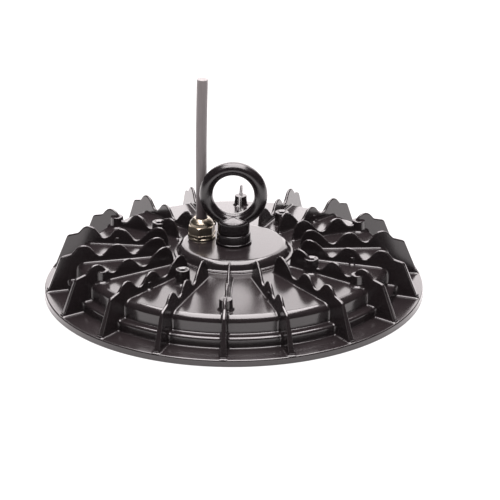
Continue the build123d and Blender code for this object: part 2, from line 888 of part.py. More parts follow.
def lens_plate():
    """Clear plate with a dome under every LED."""
    holes = [(small_hole_radius, place) for place in cover_screw_places()]
    plate = round_plate(seat_radius - cover_clearance, lens_bottom_z, lens_top_z, holes)
    sphere_radius = (dome_radius**2 + dome_height**2) / (2 * dome_height)
    sphere_z = lens_bottom_z - dome_height + sphere_radius
    below = rod(dome_radius, lens_bottom_z - dome_height, lens_top_z)
    dome = Pos(0, 0, sphere_z) * Sphere(sphere_radius) & below
    return joined([plate, *[Pos(place) * dome for place, _ in led_places()]])


def lens_ring():
    """Steel ring that presses the cover to its seal."""
    return cover_ring(lens_ring_bottom_z, lens_bottom_z)


def lens_ring_screws():
    """Screws of the cover."""
    depth = seat_z - lens_ring_bottom_z + lens_screw_depth - hole_run_out
    return Compound(children=[small_screw(lens_ring_bottom_z, depth, place) for place in cover_screw_places()])


pieces = [
    heatsink_housing,
    eye_bolt,
    eye_bolt_spacer,
    eye_bolt_gasket,
    eye_bolt_spring_washer,
    eye_bolt_nut,
    gland_body,
    gland_o_ring,
    gland_seal_insert,
    gland_clamp_nut,
    gland_lock_nut,
    mains_cable,
    mains_cable_inner,
    mains_cores,
    base_plate,
    base_plate_screws,
    led_board,
    led_packages,
    board_screws,
    driver_board,
    driver_spacers,
    driver_screws,
    driver_capacitors,
    driver_transformer,
    driver_choke,
    driver_terminal,
    led_leads,
    earth_tag,
    earth_screw,
    lens_gasket,
    lens_plate,
    lens_ring,
    lens_ring_screws,
]

os.makedirs("parts", exist_ok=True)
for piece in pieces:
    export_step(piece(), f"parts/{piece.__name__}.step")
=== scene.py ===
import json
import math

import bmesh
import bpy
from bpy.props import FloatProperty, FloatVectorProperty, IntProperty, PointerProperty
from mathutils import Matrix, Vector


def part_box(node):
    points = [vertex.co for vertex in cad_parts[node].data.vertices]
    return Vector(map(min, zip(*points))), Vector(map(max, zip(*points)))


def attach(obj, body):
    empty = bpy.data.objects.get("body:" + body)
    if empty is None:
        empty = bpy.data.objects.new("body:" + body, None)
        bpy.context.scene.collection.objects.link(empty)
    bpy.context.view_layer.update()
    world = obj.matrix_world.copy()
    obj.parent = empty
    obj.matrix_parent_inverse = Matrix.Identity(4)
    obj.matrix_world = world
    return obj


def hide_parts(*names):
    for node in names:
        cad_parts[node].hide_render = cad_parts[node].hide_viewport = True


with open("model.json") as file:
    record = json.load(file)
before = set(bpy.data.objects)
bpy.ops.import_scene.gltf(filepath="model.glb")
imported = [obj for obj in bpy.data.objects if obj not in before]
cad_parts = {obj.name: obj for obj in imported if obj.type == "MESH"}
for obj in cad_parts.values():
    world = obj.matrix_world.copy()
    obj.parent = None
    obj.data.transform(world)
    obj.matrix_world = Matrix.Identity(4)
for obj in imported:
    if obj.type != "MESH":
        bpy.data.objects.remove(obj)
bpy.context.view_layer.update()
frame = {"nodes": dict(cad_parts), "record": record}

bl_info = {
    "name": "High Bay Light",
    "version": (1, 0, 0),
    "blender": (4, 5, 0),
    "location": "3D View > Sidebar > High Bay",
    "description": "Dresses the round high bay light: casting, lifting eye, gland, cable and underside",
    "category": "Object",
}

MM = 0.001

# Section of the casting, in millimetres: radius, height and corner radius.
# The outside runs from the rim's underside up and in to the hub's top.
CASTING_OUTSIDE = (
    (149.9, 0.0, 0.5),
    (149.4, 5.2, 1.2),
    (130.5, 6.4, 1.2),
    (130.2, 14.3, 2.3),
    (123.0, 14.6, 1.5),
    (122.2, 28.0, 6.2),
    (47.3, 31.0, 0.4),
    (46.8, 32.1, 0.4),
    (44.4, 32.1, 1.4),
    (42.0, 39.0, 5.5),
)
# The inside runs from the hub's hollow down and out to the rim's underside.
CASTING_INSIDE = (
    (39.0, 35.0, 1.0),
    (41.4, 28.1, 0.8),
    (118.3, 25.0, 2.5),
    (118.8, 7.8, 0.3),
    (127.8, 7.8, 0.3),
    (127.8, 0.0, 0.4),
    (134.6, 0.0, 0.4),
    (135.1, 2.6, 0.6),
    (144.9, 2.6, 0.6),
    (145.4, 0.0, 0.4),
)
# Side view of a fin: outer foot, shoulder and valley; the waves follow by a loop.
FIN_FOOT = (147.9, 4.8)
FIN_SHOULDER = (136.4, 33.2, 3.5)
FIN_VALLEY = (127.2, 35.9, 3.0)
FIN_INNER_RADIUS = 52.5
# The fin's buried lower edge, inside the casting's wall all along.
FIN_ROOT = (
    (52.5, 29.4),
    (119.6, 25.8),
    (120.7, 11.2),
    (129.0, 11.2),
    (129.3, 4.0),
    (147.9, 4.0),
)
WAVE_FLANK_ANGLE = 50.0
DECK_FALL = (31.0 - 28.0) / (122.4 - 47.3)

# The cable's route, in metres, as the cable was cut: from the gland's mouth to its bare end.
CABLE_ROUTE = (
    (-0.02578, 0.00959, 0.0548),
    (-0.02578, 0.00959, 0.0932),
    (-0.02535, 0.00959, 0.1316),
    (-0.02415, 0.00959, 0.1699),
)
CABLE_DIAMETER = 0.0088
# Heights in millimetres over which the cable's painted shade near the gland fades: full below the first, none above the
# second.
PAINTED_SHADE_FROM, PAINTED_SHADE_TO = 64.0, 90.0

# The gland: radii and heights in millimetres; heights count from the row's base.
GLAND_FLATS = 19.0
GLAND_TURN = -9.0
GLAND_FLANGE = (10.9, 39.05, 40.9)
GLAND_BODY_FLATS = 20.0
GLAND_BODY = (40.7, 43.4)
CLAMP_HEXAGON = (43.5, 49.6)
CLAMP_SHOULDER = (7.4, 54.3)
CLAMP_MOUTH = (5.9, 55.6)

# The camera, fitted to the photograph, which is 500 by 500 pixels.
PICTURE_SIDE = 500
CAMERA_DISTANCE = 1.9137
CAMERA_AZIMUTH = 3.18
CAMERA_ELEVATION = 23.107
CAMERA_ROLL = -0.256
CAMERA_FOCAL_PIXELS = 2411.55
ORIGIN_PIXEL = (233.9, 287.4)


def linear(code):
    """An sRGB hex colour as linear RGBA."""
    channels = [int(code[i : i + 2], 16) / 255 for i in (1, 3, 5)]
    bent = [c / 12.92 if c <= 0.04045 else ((c + 0.055) / 1.055) ** 2.4 for c in channels]
    return (*bent, 1.0)


def add(tree, kind, settings=None, links=None, **attributes):
    """Adds a node with its attributes, its sockets' values and the links into its sockets."""
    node = tree.nodes.new(kind)
    for name, value in attributes.items():
        setattr(node, name, value)
    for name, value in (settings or {}).items():
        node.inputs[name].default_value = value
    for name, source in (links or {}).items():
        tree.links.new(source, node.inputs[name])
    return node


def empty_material(name):
    """A node material with nothing but its output."""
    material = bpy.data.materials.new(name)
    material.use_nodes = True
    material.node_tree.nodes.clear()
    return material, material.node_tree


def end_material(tree, surface):
    """Links the shader to the output."""
    output = tree.nodes.new("ShaderNodeOutputMaterial")
    tree.links.new(surface, output.inputs["Surface"])


def grain(tree, size_mm, detail=3.0, stretch=(1.0, 1.0, 1.0)):
    """Noise in object space whose features are about size_mm across."""
    place = add(tree, "ShaderNodeTexCoord")
    mapped = add(tree, "ShaderNodeMapping", {"Scale": stretch}, {"Vector": place.outputs["Object"]})
    return add(
        tree,
        "ShaderNodeTexNoise",
        {"Scale": 1 / (size_mm * MM), "Detail": detail, "Roughness": 0.55},
        {"Vector": mapped.outputs["Vector"]},
    )


def spread(tree, source, low, high):
    """Maps a 0 to 1 pattern to the range from low to high."""
    node = add(tree, "ShaderNodeMapRange", {"To Min": low, "To Max": high}, {"Value": source})
    return node.outputs["Result"]


def tint(tree, factor, dark, light):
    """Mixes two hex colours by a pattern."""
    node = tree.nodes.new("ShaderNodeMix")
    node.data_type = "RGBA"
    tree.links.new(factor, node.inputs[0])
    node.inputs[6].default_value = linear(dark)
    node.inputs[7].default_value = linear(light)
    return node.outputs[2]


def bumped(tree, height, depth_mm, strength=1.0):
    """A normal from a height pattern of that real depth."""
    node = add(tree, "ShaderNodeBump", {"Distance": depth_mm * MM, "Strength": strength}, {"Height": height})
    return node.outputs["Normal"]


def powder_coat():
    """Black powder coat on die-cast aluminium: sprayed and baked, so glossy with a fine orange peel."""
    material, tree = empty_material("black_powder_coat")
    peel = grain(tree, 1.6, 2.0)
    cloud = grain(tree, 38.0, 3.0)
    shader = add(
        tree,
        "ShaderNodeBsdfPrincipled",
        {"IOR": 1.52},
        {
            "Base Color": tint(tree, cloud.outputs["Fac"], "#151213", "#1d191a"),
            "Roughness": spread(tree, cloud.outputs["Fac"], 0.15, 0.22),
            "Normal": bumped(tree, peel.outputs["Fac"], 0.012, 0.5),
        },
    )
    end_material(tree, shader.outputs["BSDF"])
    return material


def coated_steel():
    """Forged steel with a black gloss coat: the forging's slow waves stay under the gloss."""
    material, tree = empty_material("black_coated_forging")
    wave = grain(tree, 6.0, 2.0)
    shader = add(
        tree,
        "ShaderNodeBsdfPrincipled",
        {"IOR": 1.5},
        {
            "Base Color": tint(tree, wave.outputs["Fac"], "#0c090a", "#151113"),
            "Roughness": spread(tree, wave.outputs["Fac"], 0.18, 0.27),
            "Normal": bumped(tree, wave.outputs["Fac"], 0.02, 0.4),
        },
    )
    end_material(tree, shader.outputs["BSDF"])
    return material


def nickel_plate():
    """Nickel-plated brass, turned and milled: warm, bright, with faint tool marks."""
    material, tree = empty_material("nickel_plated_brass")
    marks = grain(tree, 0.5, 2.0, (1.0, 1.0, 6.0))
    shader = add(
        tree,
        "ShaderNodeBsdfPrincipled",
        {"Metallic": 1.0},
        {
            "Base Color": tint(tree, marks.outputs["Fac"], "#7c7467", "#989082"),
            "Roughness": spread(tree, marks.outputs["Fac"], 0.25, 0.35),
            "Normal": bumped(tree, marks.outputs["Fac"], 0.004, 0.5),
        },
    )
    end_material(tree, shader.outputs["BSDF"])
    return material


def rubber_sheath():
    """Extruded black rubber sheath: dull, with lengthwise drawing marks; a painted shade from the eye and the gland
    makes it darker and browner near the gland.
    """
    material, tree = empty_material("extruded_rubber_sheath")
    marks = grain(tree, 1.2, 3.0, (1.0, 1.0, 0.05))
    place = add(tree, "ShaderNodeTexCoord")
    height = add(tree, "ShaderNodeSeparateXYZ", links={"Vector": place.outputs["Object"]})
    # Painted shade: the sheath is darker and browner near the gland, where the eye and gland shade it, and fades to its
    # own grey higher up.
    painted_shade = add(
        tree,
        "ShaderNodeMapRange",
        {"From Min": PAINTED_SHADE_FROM * MM, "From Max": PAINTED_SHADE_TO * MM},
        {"Value": height.outputs["Z"]},
        interpolation_type="SMOOTHSTEP",
    )
    colour = add(tree, "ShaderNodeMix", data_type="RGBA")
    tree.links.new(painted_shade.outputs["Result"], colour.inputs[0])
    # The painted shade's dark brown near the gland; the next line holds the sheath's own grey.
    tree.links.new(tint(tree, marks.outputs["Fac"], "#291f22", "#362b2f"), colour.inputs[6])
    tree.links.new(tint(tree, marks.outputs["Fac"], "#4f4b4b", "#645f5f"), colour.inputs[7])
    shader = add(
        tree,
        "ShaderNodeBsdfPrincipled",
        {"IOR": 1.5, "Sheen Weight": 0.15, "Sheen Roughness": 0.4},
        {
            "Base Color": colour.outputs[2],
            "Roughness": spread(tree, marks.outputs["Fac"], 0.42, 0.55),
            "Normal": bumped(tree, marks.outputs["Fac"], 0.02, 0.4),
        },
    )
    end_material(tree, shader.outputs["BSDF"])
    return material


def simple_finish(name, dark, light, size_mm, depth_mm, rough, settings=None):
    """A finish with a fine pattern in its colour, roughness and height."""
    material, tree = empty_material(name)
    pattern = grain(tree, size_mm, 3.0)
    shader = add(
        tree,
        "ShaderNodeBsdfPrincipled",
        settings or {},
        {
            "Base Color": tint(tree, pattern.outputs["Fac"], dark, light),
            "Roughness": spread(tree, pattern.outputs["Fac"], rough - 0.05, rough + 0.07),
            "Normal": bumped(tree, pattern.outputs["Fac"], depth_mm, 0.5),
        },
    )
    end_material(tree, shader.outputs["BSDF"])
    return material


FINISHES = {}


def finish(name):
    """The material of that finish, made once."""
    makers = {
        "black_casting": powder_coat,
        "black_steel": coated_steel,
        "nickel_brass": nickel_plate,
        "cable_sheath": rubber_sheath,
        # Zinc plate on steel: blue-white metal, slightly cloudy from the bath.
        "zinc_steel": lambda: simple_finish("zinc_plate", "#9a9ca0", "#b9bbbd", 3.0, 0.004, 0.3, {"Metallic": 1.0}),
        # Milled aluminium sheet: pale metal, cloudy.
        "bare_aluminium": lambda: simple_finish("milled_aluminium", "#a9aaac", "#c6c7c8", 1.5, 0.004, 0.36, {"Metallic": 1.0}),
        # Nitrile rubber: moulded, matt black.
        "black_rubber": lambda: simple_finish("moulded_rubber", "#0e0d0d", "#1a1919", 0.6, 0.02, 0.72),
        # Silicone: moulded, matt grey.
        "silicone": lambda: simple_finish("grey_silicone", "#8a8a87", "#9b9b98", 0.8, 0.02, 0.68),
        # White solder mask over an aluminium board.
        "white_board": lambda: simple_finish("white_solder_mask", "#e3e3df", "#efefec", 2.0, 0.006, 0.42),
        # Silicone filled with phosphor: yellow, wet-looking.
        "led_phosphor": lambda: simple_finish("led_phosphor", "#d9b52f", "#e8c84a", 0.4, 0.01, 0.35),
        # Green solder mask over glass fibre.
        "green_board": lambda: simple_finish("green_solder_mask", "#0f4a22", "#17602e", 1.0, 0.01, 0.3),
        # Shrunk PVC sleeve of the cans.
        "capacitor_sleeve": lambda: simple_finish("capacitor_sleeve", "#16161c", "#20202a", 1.5, 0.01, 0.35),
        # Sintered ferrite: dark grey, dull.
        "ferrite": lambda: simple_finish("sintered_ferrite", "#2b2b2d", "#3a3a3c", 0.6, 0.02, 0.6),
        # Polyamide of the terminal block.
        "terminal_plastic": lambda: simple_finish("terminal_polyamide", "#1d5c33", "#246b3d", 1.0, 0.01, 0.45),
        # PVC insulation of the cores.
        "core_insulation": lambda: simple_finish("core_pvc", "#5f3418", "#6d3d1e", 1.0, 0.01, 0.4),
        # Tinned copper.
        "tinned_copper": lambda: simple_finish("tinned_copper", "#a8a5a0", "#bdbab5", 0.8, 0.004, 0.3, {"Metallic": 1.0}),
        # Injection moulded polycarbonate: clear, glossy.
        "clear_polycarbonate": lambda: simple_finish(
            "clear_polycarbonate", "#f4f7f8", "#fbfcfc", 12.0, 0.002, 0.08, {"Transmission Weight": 1.0, "IOR": 1.585}
        ),
    }
    if name not in FINISHES:
        FINISHES[name] = makers[name]()
    return FINISHES[name]


def place_piece(bm, name, slot, body="root", replaced=(), weighted=False, sharp_angle=35.0):
    """Makes the bmesh an object that rides on its body, with the slot's material."""
    mesh = bpy.data.meshes.new(name)
    bm.to_mesh(mesh)
    bm.free()
    piece = bpy.data.objects.new(name, mesh)
    bpy.context.scene.collection.objects.link(piece)
    mesh.materials.append(finish(slot))
    mesh.shade_smooth()
    mesh.set_sharp_from_angle(angle=math.radians(sharp_angle))
    if weighted:
        modifier = piece.modifiers.new("even_shading", "WEIGHTED_NORMAL")
        modifier.keep_sharp = True
    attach(piece, body)
    if replaced:
        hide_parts(*replaced)
    return piece


def tidy(bm):
    """Merges doubles and turns every face outwards."""
    bmesh.ops.remove_doubles(bm, verts=bm.verts, dist=2e-6)
    bmesh.ops.recalc_face_normals(bm, faces=bm.faces)


def round_corner(bm, vert, radius, segments):
    """Rounds one corner of a flat outline by a vertex bevel."""
    before, after = [edge.other_vert(vert).co - vert.co for edge in vert.link_edges]
    half_turn = (math.pi - before.angle(after)) / 2
    bmesh.ops.bevel(
        bm,
        geom=[vert],
        offset=radius * MM * math.tan(half_turn),
        offset_type="OFFSET",
        segments=segments,
        profile=0.5,
        affect="VERTICES",
        material=-1,
    )


def draw_outline(bm, points, closed=False, segments=6):
    """Edges through points given as radius, height and corner radius in millimetres, in the X-Z plane."""
    verts = [bm.verts.new((point[0] * MM, 0, point[1] * MM)) for point in points]
    for start, end in zip(verts, verts[1:]):
        bm.edges.new((start, end))
    if closed:
        bm.edges.new((verts[-1], verts[0]))
    for vert, point in zip(verts, points):
        radius = point[2] if len(point) > 2 else 0.0
        if radius and len(vert.link_edges) == 2:
            round_corner(bm, vert, radius, segments)
    return verts


def spin_round(bm, steps, axis=(0, 0, 1), centre=(0, 0, 0)):
    """Turns everything in the bmesh into a surface of revolution."""
    bmesh.ops.spin(
        bm,
        geom=bm.verts[:] + bm.edges[:],
        cent=centre,
        axis=axis,
        angle=math.tau,
        steps=steps,
        use_merge=True,
    )


def turned_piece(points, steps=96, closed=False, segments=5):
    """A bmesh of revolution round the Z axis."""
    bm = bmesh.new()
    draw_outline(bm, points, closed, segments)
    spin_round(bm, steps)
    tidy(bm)
    return bm


def repeat_round(bm, geometry, count):
    """Copies geometry round the Z axis, to count copies in all."""
    bmesh.ops.spin(
        bm,
        geom=geometry,
        cent=(0, 0, 0),
        axis=(0, 0, 1),
        angle=math.tau * (count - 1) / count,
        steps=count - 1,
        use_duplicate=True,
    )


def merge_into(target, source):
    """Adds one bmesh to another."""
    mesh = bpy.data.meshes.new("part")
    source.to_mesh(mesh)
    source.free()
    target.from_mesh(mesh)
    bpy.data.meshes.remove(mesh)


def at(radius, azimuth, z=0.0):
    """A place on a circle round the Z axis, in millimetres; azimuths run from -Y towards +X."""
    turn = math.radians(azimuth)
    return Vector((radius * math.sin(turn), -radius * math.cos(turn), z)) * MM


def deck_height(radius):
    """The deck's height at a radius, in millimetres."""
    return 31.0 - (radius - 47.3) * DECK_FALL


def section_path(low, high):
    """The casting's outside between two radii, from the rim inwards, with rounded corners, in metres."""
    bm = bmesh.new()
    draw_outline(bm, CASTING_OUTSIDE, segments=5)
    bm.verts.ensure_lookup_table()
    ends = [vert for vert in bm.verts if len(vert.link_edges) == 1]
    vert = max(ends, key=lambda end: end.co.x)
    path = [Vector((vert.co.x, vert.co.z))]
    edge = vert.link_edges[0]
    while edge:
        vert = edge.other_vert(vert)
        path.append(Vector((vert.co.x, vert.co.z)))
        following = [other for other in vert.link_edges if other != edge]
        edge = following[0] if following else None
    bm.free()
    inside = []
    for start, end in zip(path, path[1:]):
        for limit in (high * MM, low * MM):
            if start.x > limit > end.x:
                inside.append(start.lerp(end, (start.x - limit) / (start.x - end.x)))
        if low * MM < end.x < high * MM:
            inside.append(end)
    return inside


class HighBayCastingSettings(bpy.types.PropertyGroup):
    fin_count: IntProperty(name="Fins", description="Number of cooling fins", default=18, min=3)
    fin_thickness: FloatProperty(
        name="Fin Thickness", description="Thickness of a fin at its top", default=2.3 * MM, unit="LENGTH"
    )
    fin_draft: FloatProperty(
        name="Fin Draft", description="Slope of a fin's sides", default=math.radians(2), subtype="ANGLE"
    )
    edge_round: FloatProperty(
        name="Edge Round", description="Rounding of the fins' edges", default=1.0 * MM, unit="LENGTH"
    )
    root_fillet: FloatProperty(
        name="Root Fillet", description="Fillet where a fin meets the body", default=1.6 * MM, unit="LENGTH"
    )
    crest_radius: FloatProperty(
        name="First Crest", description="Radius of the outermost crest", default=118.3 * MM, unit="LENGTH"
    )
    crest_height: FloatProperty(name="Crest Height", description="Height of the crests", default=42.1 * MM, unit="LENGTH")
    wave_pitch: FloatProperty(
        name="Wave Pitch", description="Distance from crest to crest", default=26.3 * MM, unit="LENGTH"
    )


class HighBayEyeSettings(bpy.types.PropertyGroup):
    ring_radius: FloatProperty(
        name="Ring Radius", description="Radius of the ring's centre line", default=21.4 * MM, unit="LENGTH"
    )
    wire_radius: FloatProperty(
        name="Wire Radius", description="Half of the ring's thickness", default=5.3 * MM, unit="LENGTH"
    )
    wire_depth: FloatProperty(
        name="Wire Depth", description="Half of the ring's depth", default=6.0 * MM, unit="LENGTH"
    )
    ring_height: FloatProperty(
        name="Ring Height", description="Height of the ring's centre", default=79.0 * MM, unit="LENGTH"
    )


class HighBayCableSettings(bpy.types.PropertyGroup):
    diameter: FloatProperty(
        name="Cable Diameter", description="Diameter of the sheath", default=CABLE_DIAMETER, unit="LENGTH"
    )


class HighBayStageSettings(bpy.types.PropertyGroup):
    floor_colour: FloatVectorProperty(
        name="Floor Colour", description="Colour of the floor", subtype="COLOR", size=4, default=linear("#c8c8c8")
    )
    top_light: FloatProperty(name="Top Light", description="Power of the overhead softbox", default=122.0, unit="POWER")
    back_light: FloatProperty(name="Back Light", description="Power of the rear softbox", default=60.0, unit="POWER")
    ambient: FloatProperty(name="Ambient", description="Strength of the room's light", default=0.3)
    mirrored: FloatProperty(name="Mirrored Room", description="Strength of the room in reflections", default=0.05)


def fin_outline(settings):
    """Points of a fin's side view: foot, shoulder, waves and inner ramp."""
    flank = math.radians(WAVE_FLANK_ANGLE)
    crest_round, dip_round = 8.0, 5.25
    top_z, pitch = settings.crest_height / MM, settings.wave_pitch / MM
    crest_z = top_z + crest_round * (1 / math.cos(flank) - 1)
    dip_z = crest_z - pitch / 2 * math.tan(flank)
    points = [FIN_FOOT, FIN_SHOULDER, FIN_VALLEY]
    for wave in range(2):
        first = settings.crest_radius / MM - wave * pitch
        points += [(first, crest_z, crest_round), (first - pitch / 2, dip_z, dip_round)]
    run = points[-1][0] - FIN_INNER_RADIUS
    rise = top_z - dip_z
    end_round = (run * math.sin(flank) - rise * math.cos(flank)) / (1 + math.sin(flank) - math.cos(flank))
    points.append((FIN_INNER_RADIUS, dip_z + run * math.tan(flank), end_round))
    return points + list(FIN_ROOT)


def half_thickness(settings, z):
    """Half of a fin's thickness at a height."""
    return settings.fin_thickness / 2 + (settings.crest_height - z) * math.tan(settings.fin_draft)


def fin_mesh(settings):
    """One fin along +X: an extruded outline, tapered by the draft, with rounded edges."""
    bm = bmesh.new()
    draw_outline(bm, fin_outline(settings), closed=True, segments=8)
    face = bmesh.ops.contextual_create(bm, geom=bm.edges[:])["faces"][0]
    grown = bmesh.ops.extrude_face_region(bm, geom=[face])
    top = [item for item in grown["geom"] if isinstance(item, bmesh.types.BMVert)]
    bmesh.ops.translate(bm, verts=top, vec=(0, 1, 0))
    for vert in bm.verts:
        side = 1 if vert.co.y > 0.5 else -1
        vert.co.y = side * half_thickness(settings, vert.co.z)
    bmesh.ops.recalc_face_normals(bm, faces=bm.faces)
    roots = [Vector((radius, 0, height)) * MM for radius, height in FIN_ROOT]
    buried = {vert for vert in bm.verts if min((vert.co * Vector((1, 0, 1)) - root).length for root in roots) < 1e-6}
    rims = []
    for edge in bm.edges:
        across = abs(edge.verts[0].co.y - edge.verts[1].co.y) > settings.fin_thickness / 2
        if not across and not buried.issuperset(edge.verts):
            rims.append(edge)
    bmesh.ops.bevel(
        bm,
        geom=rims,
        offset=settings.edge_round,
        offset_type="OFFSET",
        segments=3,
        profile=0.5,
        affect="EDGES",
        material=-1,
    )
    return bm


def fillet_stations(settings):
    """Places along the foot of a fin: point on the foot, direction away from the fin, and the body's normal."""
    path = section_path(FIN_INNER_RADIUS + 0.9, FIN_FOOT[0] - 1.2)
    corner = 0.9 * MM
    stations = []
    for i, point in enumerate(path):
        before, after = path[max(i - 1, 0)], path[min(i + 1, len(path) - 1)]
        along = (after - before).normalized()
        normal = Vector((along.y, 0, -along.x))
        if normal.z < 0 and abs(normal.x) < 0.9:
            normal.negate()
        foot = Vector((point.x, half_thickness(settings, point.y), point.y))
        stations.append((foot, Vector((0, 1, 0)), normal))
    outer, inner = stations[0], stations[-1]
    wraps = []
    for (foot, _, normal), sign in ((outer, 1), (inner, -1)):
        centre = foot - Vector((0, corner, 0))
        turn = []
        for step in range(1, 6):
            angle = math.radians(90) * step / 5
            away = Vector((sign * math.sin(angle), math.cos(angle), 0))
            turn.append((centre + away * corner, away, normal))
        wraps.append(turn)
    half = wraps[0][::-1] + stations + wraps[1]
    other = [
        (foot * Vector((1, -1, 1)), away * Vector((1, -1, 1)), normal * Vector((1, -1, 1)))
        for foot, away, normal in reversed(half)
    ]
    return half + other


def station_matrix(foot, away, normal):
    """Frame of a fillet's section."""
    along = away.cross(normal)
    matrix = Matrix((away, normal, along)).transposed().to_4x4()
    return Matrix.Translation(foot) @ matrix


def fillet_mesh(settings):
    """The fillet round one fin's foot: a hollow quarter round swept along the casting's section."""
    bm = bmesh.new()
    radius = settings.root_fillet
    sink = 0.12 * MM
    section = [Vector((-sink, radius * 1.08, 0))]
    for step in range(6):
        angle = math.radians(90) * step / 5
        section.append(Vector((radius - radius * math.cos(angle), radius - radius * math.sin(angle), 0)))
    section.append(Vector((radius * 1.08, -sink, 0)))
    stations = fillet_stations(settings)
    frames = [station_matrix(*station) for station in stations]
    verts = [bm.verts.new(frames[0] @ point) for point in section]
    chain = [bm.edges.new(pair) for pair in zip(verts, verts[1:])]
    last = frames[0]
    for now in frames[1:] + frames[:1]:
        grown = bmesh.ops.extrude_edge_only(bm, edges=chain)["geom"]
        chain = [item for item in grown if isinstance(item, bmesh.types.BMEdge)]
        moved = [item for item in grown if isinstance(item, bmesh.types.BMVert)]
        bmesh.ops.transform(bm, matrix=now @ last.inverted(), verts=moved)
        last = now
    bmesh.ops.remove_doubles(bm, verts=bm.verts, dist=2e-6)
    for face in bm.faces:
        centre = face.calc_center_median()
        if face.normal.z < 0 and abs(face.normal.z) > 0.2 or centre.y * face.normal.y < -1e-9 and abs(face.normal.y) > 0.5:
            face.normal_flip()
    return bm


def casting_body():
    """The casting without fins: one closed section, spun."""
    ring = [*CASTING_OUTSIDE, (0.0, 39.0), (0.0, 35.0), *CASTING_INSIDE]
    bm = bmesh.new()
    points = ring
    verts = [bm.verts.new((point[0] * MM, 0, point[1] * MM)) for point in points]
    hub_top = len(CASTING_OUTSIDE)
    for i, vert in enumerate(verts):
        if i != hub_top:
            bm.edges.new((vert, verts[(i + 1) % len(verts)]))
    for vert, point in zip(verts, points):
        if len(point) > 2:
            round_corner(bm, vert, point[2], 5)
    spin_round(bm, 216)
    tidy(bm)
    return bm


def flared_pin(place, radius, top_z, hole_radius=0.0, hole_depth=0.0):
    """A cast boss or pad: rounded top edge, drafted side, and a fillet down to the deck."""
    deck = deck_height(place.xy.length / MM)
    draft = math.tan(math.radians(1.5))
    foot = radius + (top_z - deck) * draft
    points = [(foot + 1.6, deck - 2.0), (foot + 1.6, deck - 0.3), (foot, deck + 1.3, 1.8), (radius, top_z, 0.7)]
    if hole_radius:
        points += [
            (hole_radius + 2.0, top_z, 0.2),
            (hole_radius, top_z - 0.9, 0.2),
            (hole_radius, top_z - hole_depth),
            (0.0, top_z - hole_depth - 1.2),
        ]
    else:
        points.append((0.0, top_z))
    bm = turned_piece(points, 32, segments=4)
    bmesh.ops.translate(bm, verts=bm.verts, vec=(place.x, place.y, 0))
    return bm


class HIGHBAY_OT_casting(bpy.types.Operator):
    """Build the finned die casting"""

    bl_idname = "highbay.casting"
    bl_label = "Finned Casting"

    def execute(self, context):
        settings = context.scene.highbay_casting
        bm = casting_body()
        one = fin_mesh(settings)
        merge_into(one, fillet_mesh(settings))
        repeat_round(one, one.verts[:] + one.edges[:] + one.faces[:], settings.fin_count)
        bmesh.ops.rotate(one, verts=one.verts, cent=(0, 0, 0), matrix=Matrix.Rotation(-math.pi / 2, 3, "Z"))
        merge_into(bm, one)
        for i in range(4):
            merge_into(bm, flared_pin(at(71.5, -30 + 90 * i), 5.5, 41.0, 2.25, 10.0))
        for i in range(6):
            merge_into(bm, flared_pin(at(108.4 if i % 3 == 0 else 113.1, 60 * i), 5.1, 37.0))
            merge_into(bm, flared_pin(at(95.0, 20 + 60 * i), 2.4, 35.0))
        place_piece(bm, "finned_casting", "black_casting", replaced=["heatsink_housing"], weighted=True)
        return {"FINISHED"}


class HIGHBAY_OT_eye_bolt(bpy.types.Operator):
    """Build the lifting eye, its disc and its seal"""

    bl_idname = "highbay.eye_bolt"
    bl_label = "Lifting Eye"

    def execute(self, context):
        settings = context.scene.highbay_eye
        low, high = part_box("eye_bolt_spacer")
        collar = high[2] / MM
        ring_bottom = (settings.ring_height - settings.ring_radius) / MM
        bm = turned_piece(
            [
                (0.0, collar),
                (12.6, collar, 0.6),
                (12.6, collar + 10.2, 1.5),
                (0.0, ring_bottom + 5.35),
            ],
            64,
        )
        ring = bmesh.new()
        bmesh.ops.create_circle(
            ring,
            segments=32,
            radius=settings.wire_radius,
            matrix=Matrix.Translation((settings.ring_radius, 0, 0))
            @ Matrix.Diagonal((1, settings.wire_depth / settings.wire_radius, 1, 1)),
        )
        spin_round(ring, 96, axis=(0, 1, 0))
        bmesh.ops.translate(ring, verts=ring.verts, vec=(0, 0, settings.ring_height))
        tidy(ring)
        merge_into(bm, ring)
        piece = place_piece(bm, "lifting_eye", "black_steel", replaced=["eye_bolt"])
        remesh = piece.modifiers.new("forged_skin", "REMESH")
        remesh.mode = "VOXEL"
        remesh.voxel_size = 0.45 * MM
        smooth = piece.modifiers.new("blended_neck", "SMOOTH")
        smooth.iterations = 9
        smooth.factor = 0.5
        baked = bpy.data.meshes.new_from_object(piece.evaluated_get(context.evaluated_depsgraph_get()))
        piece.modifiers.clear()
        piece.data = baked
        baked.shade_smooth()
        radius = (high[0] - low[0]) / 2 / MM
        foot = low[2] / MM
        side = radius - 0.05
        disc = [
            (6.3, foot),
            (side + 0.8, foot, 0.2),
            (side + 0.8, foot + 1.0, 0.8),
            (side, foot + 1.2, 0.3),
            (side, collar, 1.2),
            (6.3, collar),
        ]
        place_piece(
            turned_piece(disc, 96, closed=True),
            "lifting_eye_disc",
            "black_steel",
            replaced=["eye_bolt_spacer"],
        )
        return {"FINISHED"}


def hexagon_edge(face_z, side):
    """The chamfered outer corner of a hexagon's flat face; side is 1 for its lower face, -1 for the upper."""
    corner = GLAND_FLATS / math.sqrt(3)
    points = [(corner - 0.8, face_z, 0.25), (corner + 0.1, face_z + side * 0.75, 0.25)]
    return points if side > 0 else points[::-1]


def hexagon_cut(bm, across_flats, turn):
    """Mills six flats on a turned form."""
    for i in range(6):
        angle = math.radians(turn + 60 * i)
        normal = Vector((math.cos(angle), math.sin(angle), 0))
        cut = bmesh.ops.bisect_plane(
            bm,
            geom=bm.verts[:] + bm.edges[:] + bm.faces[:],
            plane_co=normal * (across_flats / 2 * MM),
            plane_no=normal,
            clear_outer=True,
        )
        edges = [item for item in cut["geom_cut"] if isinstance(item, bmesh.types.BMEdge)]
        bmesh.ops.edgeloop_fill(bm, edges=edges)
    bmesh.ops.recalc_face_normals(bm, faces=bm.faces)


